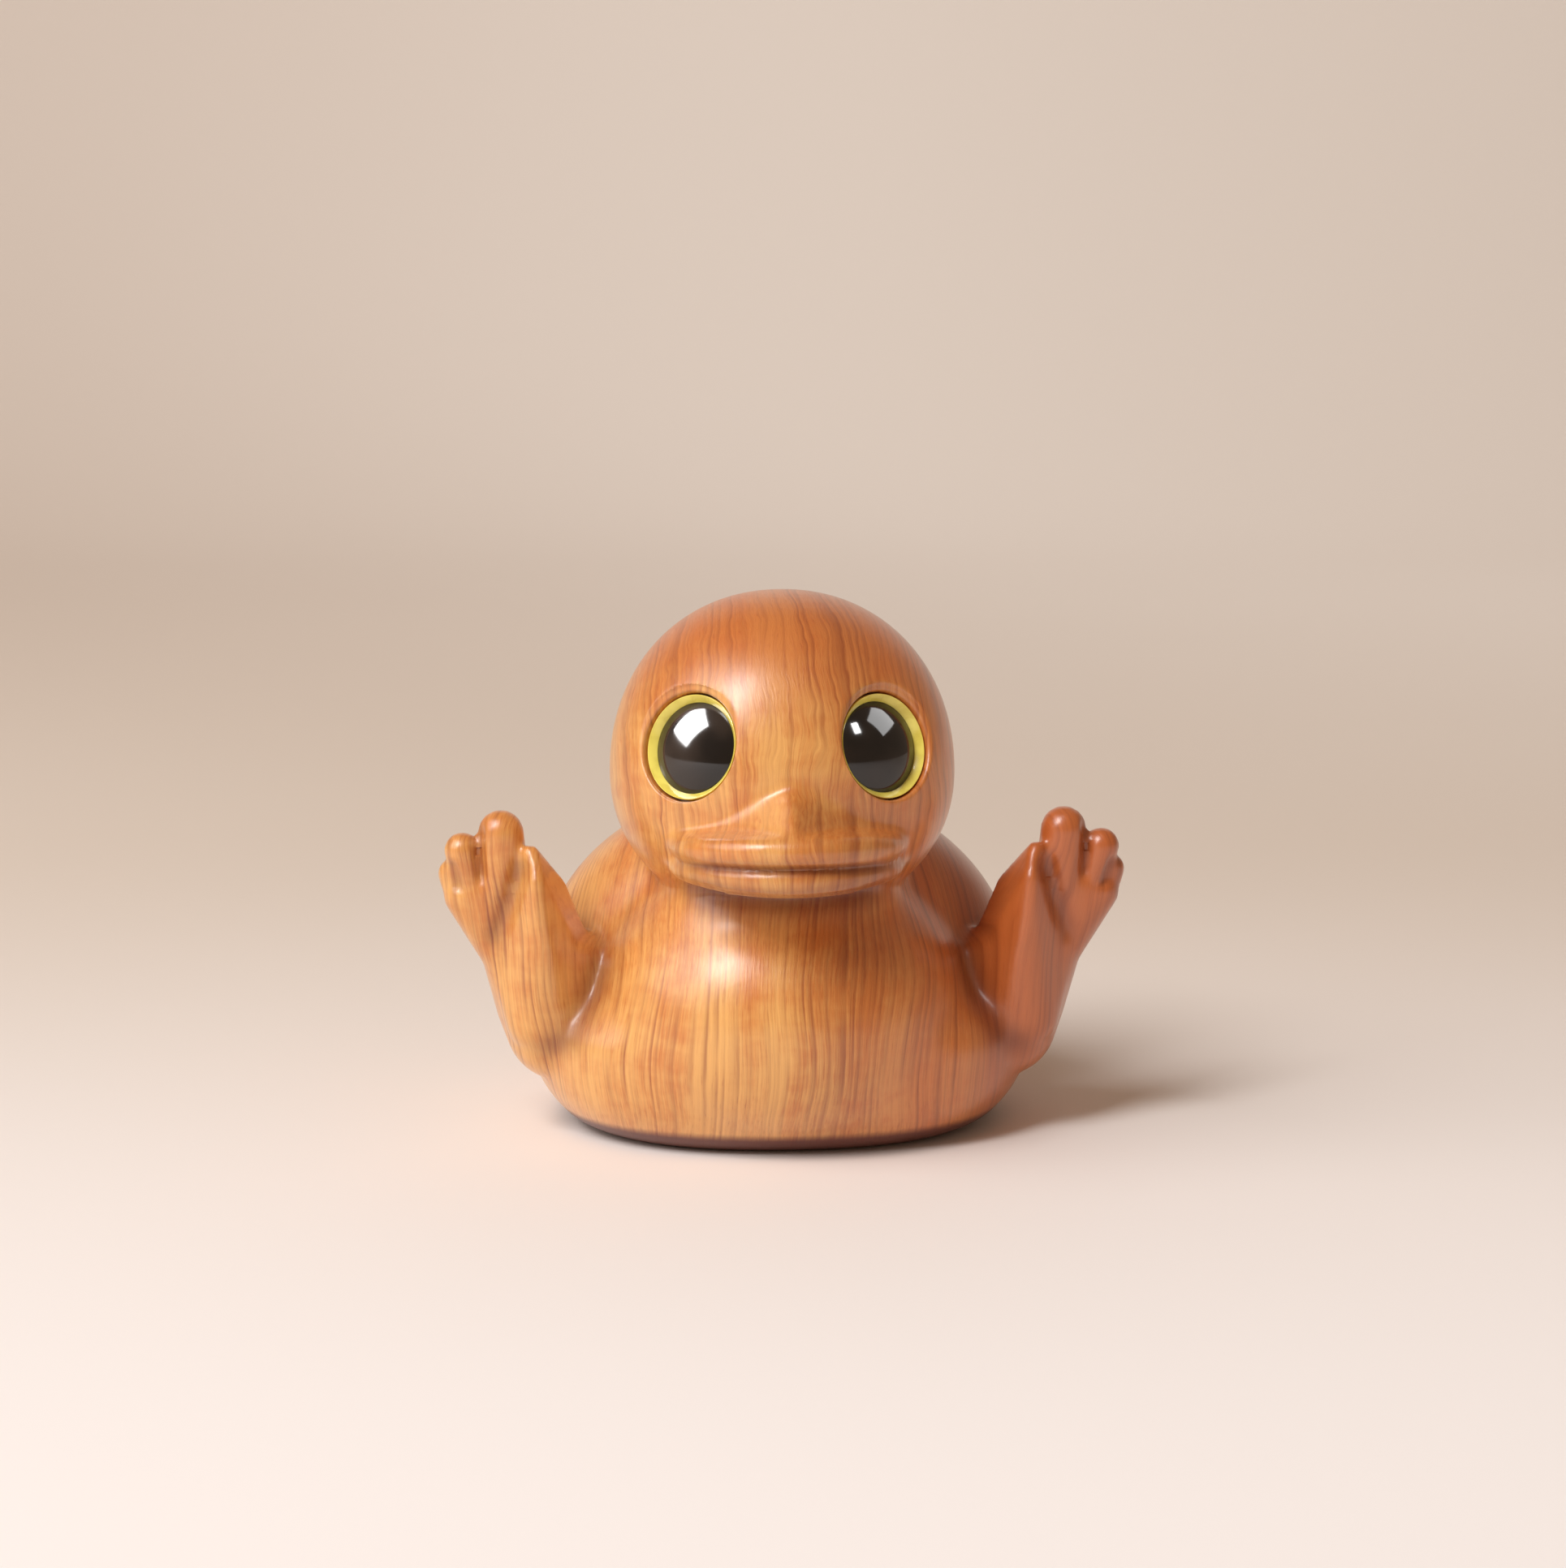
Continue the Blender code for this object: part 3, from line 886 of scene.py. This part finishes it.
    def soften_rims(self, body: Obj) -> None:
        """Rubs the skin just outside the sockets, so that no edge is left there."""
        points = points_of(body.data)
        amount = np.zeros(len(points))
        for eye in self.eyes:
            inverse = np.array(eye.frame().inverted())
            local = points @ inverse[:3, :3].T + inverse[:3, 3]
            out = np.hypot(local[:, 0], local[:, 1]) - eye.socket_radius
            ring = unit((out - self.rim_start[0]) / self.rim_start[1])
            ring *= unit((self.rim_end[0] - out) / self.rim_end[1])
            ring *= np.abs(local[:, 2]) < self.rim_height
            amount = np.maximum(amount, ring)
        self.rub(body, amount, self.rim_passes)

    def build(self) -> Obj:
        """Models the whole carved body."""
        body = self.fuse()
        self.soften(body)
        self.round_foot(body)
        self.saw_and_drill(body)
        self.soften_rims(body)
        self.gouge(body)
        self.bill.carve_mouth(body)
        self.paint_crease_shade(body)
        select_only(body)
        bpy.ops.object.shade_smooth_by_angle(angle=math.radians(38))
        return body


class Graph:
    """A small helper that lays out a material's nodes."""

    def __init__(self, name: str) -> None:
        """Starts a material with one Principled shader."""
        self.material = bpy.data.materials.new(name)
        self.material.use_nodes = True
        self.tree = self.material.node_tree
        self.shader = self.tree.nodes["Principled BSDF"]

    def node(self, kind: str, **settings: object) -> bpy.types.Node:
        """Adds a node and sets its properties."""
        made = self.tree.nodes.new(kind)
        for key, value in settings.items():
            setattr(made, key, value)
        return made

    def put(self, socket: Socket, value: object) -> None:
        """Links a socket to another, or sets its value."""
        if isinstance(value, Socket):
            self.tree.links.new(value, socket)
        else:
            socket.default_value = value

    def math(self, operation: str, *values: object) -> Socket:
        """Adds a Math node.

        Args:
            operation: The Math node's operation.
            values: Its inputs, each a socket or a number.

        Returns:
            The result's socket.
        """
        node = self.node("ShaderNodeMath", operation=operation)
        for socket, value in zip(node.inputs, values):
            self.put(socket, value)
        return node.outputs[0]

    def times(self, first: object, second: object) -> Socket:
        """Multiplies two values."""
        return self.math("MULTIPLY", first, second)

    def plus(self, first: object, second: object) -> Socket:
        """Adds two values."""
        return self.math("ADD", first, second)

    def minus(self, first: object, second: object) -> Socket:
        """Takes the second value from the first."""
        return self.math("SUBTRACT", first, second)

    def place(self, kind: str = "Object") -> Socket:
        """The place on the piece in its own coordinates, or another texture coordinate."""
        return self.node("ShaderNodeTexCoord").outputs[kind]

    def split(self, vector: Socket) -> list[Socket]:
        """Takes a vector apart into X, Y and Z."""
        node = self.node("ShaderNodeSeparateXYZ")
        self.put(node.inputs[0], vector)
        return list(node.outputs)

    def surface(self, inputs: dict[str, object]) -> None:
        """Links or sets the shader's inputs, each by its name."""
        for name, value in inputs.items():
            self.put(self.shader.inputs[name], value)

    def vector(self, x: object, y: object, z: object) -> Socket:
        """Joins three values into a vector."""
        node = self.node("ShaderNodeCombineXYZ")
        for socket, value in zip(node.inputs, (x, y, z)):
            self.put(socket, value)
        return node.outputs[0]

    def noise(
        self,
        vector: Socket,
        detail: float = 2.0,
        roughness: float = 0.5,
        scale: float = 1.0,
    ) -> Socket:
        """Adds smooth noise, between 0 and 1, at some blobs for each unit of the vector."""
        node = self.node("ShaderNodeTexNoise")
        self.put(node.inputs["Vector"], vector)
        node.inputs["Scale"].default_value = scale
        node.inputs["Detail"].default_value = detail
        node.inputs["Roughness"].default_value = roughness
        return node.outputs["Fac"]

    def remap(
        self, value: Socket, low: float, high: float, to_low: float, to_high: float
    ) -> Socket:
        """Maps a value smoothly from one range to another, and clamps it."""
        node = self.node("ShaderNodeMapRange", interpolation_type="SMOOTHSTEP")
        for name, number in zip(
            ("Value", "From Min", "From Max", "To Min", "To Max"),
            (value, low, high, to_low, to_high),
        ):
            self.put(node.inputs[name], number)
        return node.outputs[0]

    def mix(self, share: object, first: object, second: object) -> Socket:
        """Mixes two colours."""
        node = self.node("ShaderNodeMix", data_type="RGBA")
        self.put(node.inputs[0], share)
        self.put(node.inputs[6], first)
        self.put(node.inputs[7], second)
        return node.outputs[2]

    def bump(self, height: object, distance: float, strength: float) -> None:
        """Bends the shader's normal by a height."""
        node = self.node("ShaderNodeBump")
        self.put(node.inputs["Height"], height)
        node.inputs["Distance"].default_value = distance
        node.inputs["Strength"].default_value = strength
        self.put(self.shader.inputs["Normal"], node.outputs[0])


def rgb(red: int, green: int, blue: int) -> tuple[float, float, float, float]:
    """Turns a screen colour, 0 to 255, into the shader's linear colour."""
    linear = [
        part / 12.92 if part <= 0.04045 else ((part + 0.055) / 1.055) ** 2.4
        for part in (red / 255, green / 255, blue / 255)
    ]
    return (*linear, 1.0)


@dataclass(frozen=True)
class OiledWood:
    """Oiled fruitwood: upright growth rings that fan out from an axis behind the duck."""

    pale: Colour = rgb(240, 180, 102)
    warm: Colour = rgb(216, 132, 58)
    dark: Colour = rgb(146, 68, 26)
    oiled_end: Colour = rgb(198, 102, 36)
    # Painted shade: the duck's right side is darker.
    shaded_side: Colour = rgb(212, 112, 52)
    # Painted shade: the colour of the creases and of the shadows under the chin and along the foot.
    crease_shade: Colour = rgb(98, 34, 13)
    # Painted shade: the right wing is darker still.
    right_wing_shade: Colour = rgb(184, 90, 40)
    axis_behind: float = 70.0
    front_radius: float = 99.0
    ring_spacing: float = 1.25
    fine_spacing: float = 0.47
    ring_darkness: float = 0.85
    fine_darkness: float = 0.34
    wave_height: float = 9.0
    shade_band_at: float = 7.0
    roughness: float = 0.38
    specular: float = 0.5
    coat_roughness: float = 0.31

    @property
    def coat(self) -> dict[str, object]:
        """The values of the clear coat of oil."""
        return {
            "Specular IOR Level": self.specular,
            "Coat Weight": 1.0,
            "Coat Roughness": self.coat_roughness,
        }

    def material(self) -> Material:
        """Builds the wood's nodes. Its numbers are in millimetres of the object."""
        g = Graph("oiled_wood")
        scale = g.node("ShaderNodeMapping", vector_type="POINT")
        g.put(scale.inputs["Vector"], g.place())
        scale.inputs["Scale"].default_value = (1000.0, 1000.0, 1000.0)
        x, y, z = g.split(scale.outputs[0])
        depth = g.minus(self.axis_behind, y)
        across = g.times(g.math("ARCTAN2", x, depth), self.front_radius)
        wave = g.times(self.centred(g, (x, 0.03), (y, 0.03), (z, 0.035), 1.0), self.wave_height)
        wiggle = self.centred(g, (across, 0.22), (y, 0.1), (z, 0.15), 2.0)
        wiggle = g.times(wiggle, g.remap(z, 24.0, 46.0, 0.35, 2.3))
        u = g.plus(g.plus(across, wave), wiggle)
        rings = self.rings(g, u, z, self.ring_spacing, 1.8, 0.0)
        fine_rings = self.rings(g, u, z, self.ring_spacing * self.fine_spacing, 1.3, 40.0)
        fibre = self.centred(g, (u, 4.5), (y, 0.8), (z, 0.22), 3.0)
        band = self.centred(g, (u, 0.14), (y, 0.03), (z, 0.02), 2.0)
        figure = self.centred(g, (u, 0.22), (y, 0.2), (z, 0.45), 2.0)
        tone = g.plus(g.remap(z, 8.0, 32.0, 0.30, 0.46), g.times(band, 2.1))
        tone = g.plus(tone, g.times(figure, 0.9))
        tone = g.plus(tone, g.times(fibre, 1.1))
        ground = g.mix(g.remap(tone, 0.0, 1.0, 0.0, 1.0), self.pale, self.warm)
        ground = g.mix(self.end_grain(g, z), ground, self.oiled_end)
        # Painted shade: the wood grows darker towards the duck's right side, and darker still on
        # the right wing.
        ground = g.mix(g.remap(u, 0.0, 22.0, 0.0, 0.65), ground, self.shaded_side)
        ground = g.mix(g.remap(u, 24.0, 31.0, 0.0, 0.75), ground, self.right_wing_shade)
        # A darker band a little right of the middle: partly a streak in the wood, partly painted
        # shade on the right of the bill and face.
        shade_band = g.remap(g.math("ABSOLUTE", g.minus(u, self.shade_band_at)), 1.5, 9.0, 0.14, 0.0)
        darkness = g.plus(shade_band, g.times(rings, self.ring_darkness))
        darkness = g.plus(darkness, g.times(fine_rings, self.fine_darkness))
        darkness = g.plus(darkness, g.remap(fibre, 0.08, 0.24, 0.0, 0.2))
        # Painted shade from the attribute: darker and browner in the palm valleys, at the roots of
        # the wings, along the mouth line, in the shadow under the chin and in the shadow along the
        # foot. These places are also made rougher.
        patina = g.node("ShaderNodeAttribute", attribute_name="patina").outputs["Fac"]
        darkness = g.plus(darkness, g.times(patina, 0.3))
        colour = g.mix(g.math("MINIMUM", darkness, 0.9), ground, self.dark)
        colour = g.mix(g.times(patina, 0.72), colour, self.crease_shade)
        rough = g.plus(self.roughness, g.times(fibre, 0.20))
        rough = g.plus(rough, g.times(patina, 0.3))
        g.surface({"Base Color": colour, "Roughness": rough, "IOR": 1.5, **self.coat})
        height = g.minus(fibre, g.times(rings, 0.1))
        g.bump(height, 0.00006, 0.8)
        return g.material

    def centred(
        self,
        g: Graph,
        x: tuple[Socket, float],
        y: tuple[Socket, float],
        z: tuple[Socket, float],
        detail: float,
    ) -> Socket:
        """Noise about 0, with its own fineness along each direction.

        Args:
            g: The material's graph.
            x: A coordinate and how many blobs there are in each millimetre of it.
            y: The same along the depth.
            z: The same along the height.
            detail: How many finer layers are added.

        Returns:
            The noise, between -0.5 and 0.5.
        """
        at = g.vector(*(g.times(value, fineness) for value, fineness in (x, y, z)))
        return g.minus(g.noise(at, detail, 0.55), 0.5)

    def end_grain(self, g: Graph, z: Socket) -> Socket:
        """The darkening of faces that cut across the fibres, which drink more oil higher up."""
        facing = g.remap(g.split(g.place("Normal"))[2], 0.10, 0.85, 0.0, 0.8)
        return g.times(facing, g.remap(z, 42.0, 55.0, 0.25, 1.0))

    def rings(
        self,
        g: Graph,
        u: Socket,
        z: Socket,
        spacing: float,
        sharpness: float,
        offset: float,
    ) -> Socket:
        """Growth rings: each darkens slowly and ends in a thin line.

        Args:
            g: The material's graph.
            u: The distance across the rings.
            z: The height.
            spacing: The mean distance between rings.
            sharpness: How thin the dark line is.
            offset: Where the unevenness is read, so that two sets differ.

        Returns:
            The rings' darkness, 0 to 1.
        """
        uneven_at = g.vector(g.times(u, 0.30), offset, g.times(z, 0.004))
        uneven = g.times(g.noise(uneven_at, 1.0), 2.4)
        turns = g.plus(g.math("DIVIDE", u, spacing), uneven)
        whole = g.math("FLOOR", turns)
        part = g.minus(turns, whole)
        late = g.math("POWER", part, sharpness)
        edge = g.remap(part, 0.70, 1.0, 1.0, 0.0)
        line = g.times(late, edge)
        dice = g.node("ShaderNodeTexWhiteNoise", noise_dimensions="1D")
        g.put(dice.inputs["W"], g.plus(whole, offset))
        strength = g.remap(dice.outputs[0], 0.0, 1.0, 0.35, 1.3)
        fade_at = g.vector(g.times(whole, 3.7), offset, g.times(z, 0.09))
        fade = g.remap(g.noise(fade_at, 1.0), 0.30, 0.62, 0.2, 1.0)
        return g.times(g.times(line, strength), fade)


@dataclass(frozen=True)
class YellowEnamel:
    """Glossy yellow enamel, a little uneven in its depth of colour."""

    bright: Colour = rgb(252, 236, 112)
    olive: Colour = rgb(228, 208, 84)
    fineness: float = 420.0

    def material(self) -> Material:
        """Builds the enamel's nodes."""
        g = Graph("yellow_enamel")
        spots = g.noise(g.place(), scale=self.fineness)
        colour = g.mix(g.remap(spots, 0.35, 0.7, 0.0, 1.0), self.bright, self.olive)
        rough = g.remap(spots, 0.3, 0.7, 0.18, 0.3)
        coat = {"Coat Weight": 0.5, "Coat Roughness": 0.06}
        g.surface({"Base Color": colour, "Roughness": rough, **coat})
        return g.material


@dataclass(frozen=True)
class BlackGlass:
    """Polished near-black glass, a shade browner in patches."""

    black: Colour = rgb(14, 11, 10)
    brown: Colour = rgb(30, 23, 19)
    fineness: float = 150.0

    def material(self) -> Material:
        """Builds the glass's nodes."""
        g = Graph("black_glass")
        cloud = g.noise(g.place(), scale=self.fineness)
        colour = g.mix(g.remap(cloud, 0.35, 0.65, 0.0, 1.0), self.black, self.brown)
        rough = g.remap(cloud, 0.3, 0.7, 0.07, 0.13)
        g.surface({"Base Color": colour, "Roughness": rough, "IOR": 1.6})
        return g.material


@dataclass(frozen=True)
class PalePaper:
    """The plain pale sheet that the duck stands on."""

    front: Colour = rgb(252, 248, 247)
    middle: Colour = rgb(226, 214, 202)
    wall: Colour = rgb(255, 249, 243)
    shade: Colour = rgb(214, 198, 184)
    fineness: float = 4.0

    def material(self) -> Material:
        """Builds the paper's nodes, with painted light: bright at the front and duller further
        back, a lighter wall to the back right, and painted shade at the far left.
        """
        g = Graph("pale_paper")
        x, y, _ = g.split(g.place())
        cloud = g.noise(g.place(), scale=self.fineness)
        drift = g.times(g.minus(cloud, 0.5), 0.06)
        depth = g.plus(y, drift)
        # Painted light: the paper is brightest at the front and duller further back.
        near = g.mix(g.remap(depth, -0.14, 0.20, 0.0, 1.0), self.front, self.middle)
        # Painted light: the wall grows lighter towards the back right.
        slant = g.plus(depth, g.times(x, 0.9))
        colour = g.mix(g.remap(slant, 0.2, 0.9, 0.0, 1.0), near, self.wall)
        # Painted shade at the far left.
        left, far = g.remap(x, -0.3, 0.1, 0.45, 0.0), g.remap(depth, 0.2, 0.6, 0.0, 1.0)
        colour = g.mix(g.times(left, far), colour, self.shade)
        g.surface({"Base Color": colour, "Roughness": 0.75, "Specular IOR Level": 0.2})
        return g.material


# What the two main lights fall on. The glasses have small lights of their own.
MATT = ("carved_duck", "ring_left", "ring_right", "sweep")


@dataclass(frozen=True)
class Softbox:
    """A soft light, placed by its bearing from the duck's front and its height, in degrees."""

    name: str
    bearing: float
    height: float
    distance: float
    size: tuple[float, float]
    power: float
    colour: Point = (1.0, 1.0, 1.0)
    roll: float = 0.0
    only_for: tuple[str, ...] = ()

    def build(self, target: Vector) -> Obj:
        """Adds the light, aimed at the target and linked to the pieces that it is only for."""
        way = direction(math.radians(self.bearing), math.radians(self.height))
        data = bpy.data.lights.new(self.name, "AREA")
        data.shape = "RECTANGLE"
        data.size, data.size_y = self.size
        data.energy = self.power
        data.color = self.colour
        light = bpy.data.objects.new(self.name, data)
        light.location = target + way * self.distance
        roll = Matrix.Rotation(math.radians(self.roll), 3, "Z")
        light.rotation_euler = (way.to_track_quat("Z", "Y").to_matrix() @ roll).to_euler()
        light.visible_camera = False
        bpy.context.scene.collection.objects.link(light)
        if self.only_for:
            lit = bpy.data.collections.new(f"lit_by_{self.name}")
            for piece in self.only_for:
                lit.objects.link(bpy.data.objects[piece])
            light.light_linking.receiver_collection = lit
        return light


@dataclass(frozen=True)
class Studio:
    """The pale sweep, the lights and the camera."""

    azimuth: float = -2.5
    elevation: float = 9.5
    distance: float = 0.456
    lens: float = 85.0
    sensor_width: float = 36.0
    clip: tuple[float, float] = (0.01, 20.0)
    aim: Point = (0.0003, -0.0040, 0.04245)
    lights: tuple[Softbox, ...] = (
        Softbox("key", -41.0, 48.0, 1.6, (0.46, 0.74), 15.0, only_for=MATT),
        Softbox("window", -68.0, 36.0, 1.5, (1.2, 1.2), 10.5, (1.0, 0.98, 0.97), only_for=MATT),
        Softbox(
            "left_eye_card", -87.0, 40.0, 0.4, (0.3, 0.3), 9.0, roll=-12.0, only_for=("glass_left",)
        ),
        Softbox("right_eye_glint", 29.5, 48.0, 0.4, (0.06, 0.11), 0.8, only_for=("glass_right",)),
        Softbox("right_eye_card", 92.0, 42.0, 0.4, (0.26, 0.20), 0.8, only_for=("glass_right",)),
    )
    sheet_size: float = 2.4
    wall_rise: Point = (0.0, 0.25, 1.6)
    bend_width: float = 0.55
    bend_steps: int = 24
    ambient: float = 0.27
    ambient_colour: tuple[float, float, float, float] = (1.0, 0.70, 0.48, 1.0)

    def add_sweep(self) -> Obj:
        """Models the floor, which curves up into the backdrop."""
        bpy.ops.mesh.primitive_plane_add(size=self.sheet_size, location=(0.0, 0.0, 0.0))
        sweep = bpy.context.object
        sweep.name = "sweep"
        with editing(sweep):
            bpy.ops.mesh.select_all(action="DESELECT")
        for edge in sweep.data.edges:
            ends = [sweep.data.vertices[i].co.y for i in edge.vertices]
            edge.select = min(ends) > 0.0
        with editing(sweep):
            bpy.ops.mesh.select_mode(type="EDGE")
            bpy.ops.mesh.extrude_region_move(TRANSFORM_OT_translate={"value": self.wall_rise})
        bend = {"width": self.bend_width, "segments": self.bend_steps, "limit_method": "ANGLE"}
        add_modifier(sweep, "curve", "BEVEL", angle_limit=math.radians(20), **bend)
        apply_modifiers(sweep)
        bpy.ops.object.shade_smooth()
        return sweep

    def add_camera(self) -> Obj:
        """Places the camera at the photograph's viewing angle."""
        way = direction(math.radians(self.azimuth), math.radians(self.elevation))
        data = bpy.data.cameras.new("camera")
        data.lens = self.lens
        data.sensor_width = self.sensor_width
        data.clip_start, data.clip_end = self.clip
        camera = bpy.data.objects.new("camera", data)
        camera.location = Vector(self.aim) + way * self.distance
        camera.rotation_euler = way.to_track_quat("Z", "Y").to_euler()
        bpy.context.scene.collection.objects.link(camera)
        bpy.context.scene.camera = camera
        return camera

    def build(self) -> None:
        """Sets up the sweep, the lights, the surroundings and the camera."""
        sweep = self.add_sweep()
        sweep.data.materials.append(PalePaper().material())
        for light in self.lights:
            light.build(Vector(self.aim))
        world = bpy.data.worlds.new("studio")
        world.use_nodes = True
        background = world.node_tree.nodes["Background"]
        background.inputs["Color"].default_value = self.ambient_colour
        background.inputs["Strength"].default_value = self.ambient
        bpy.context.scene.world = world
        bpy.context.scene.view_settings.view_transform = "Standard"
        self.add_camera()


def dress(piece: Obj, material: Material, node: str) -> None:
    """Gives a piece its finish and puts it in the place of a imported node.

    Args:
        piece: The finished piece.
        material: Its finish.
        node: The node that the piece stands for.
    """
    piece.data.materials.clear()
    piece.data.materials.append(material)
    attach(piece, BODY)
    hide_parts(node)
    log.info("%s: %d faces, in the place of %s", piece.name, len(piece.data.polygons), node)


def main() -> None:
    """Builds the duck, its eyes and the studio."""
    logging.basicConfig(level=logging.INFO, format="%(name)s: %(message)s")
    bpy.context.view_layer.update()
    duck = Duck()
    dress(duck.build(), OiledWood().material(), "duck_body")
    enamel, glass = YellowEnamel().material(), BlackGlass().material()
    for eye in duck.eyes:
        side = eye.side.name.lower()
        dress(eye.build_ring(), enamel, f"eye_bezel_{side}")
        dress(eye.build_glass(), glass, f"eye_glass_{side}")
    Studio().build()


if __name__ == "__main__":
    main()
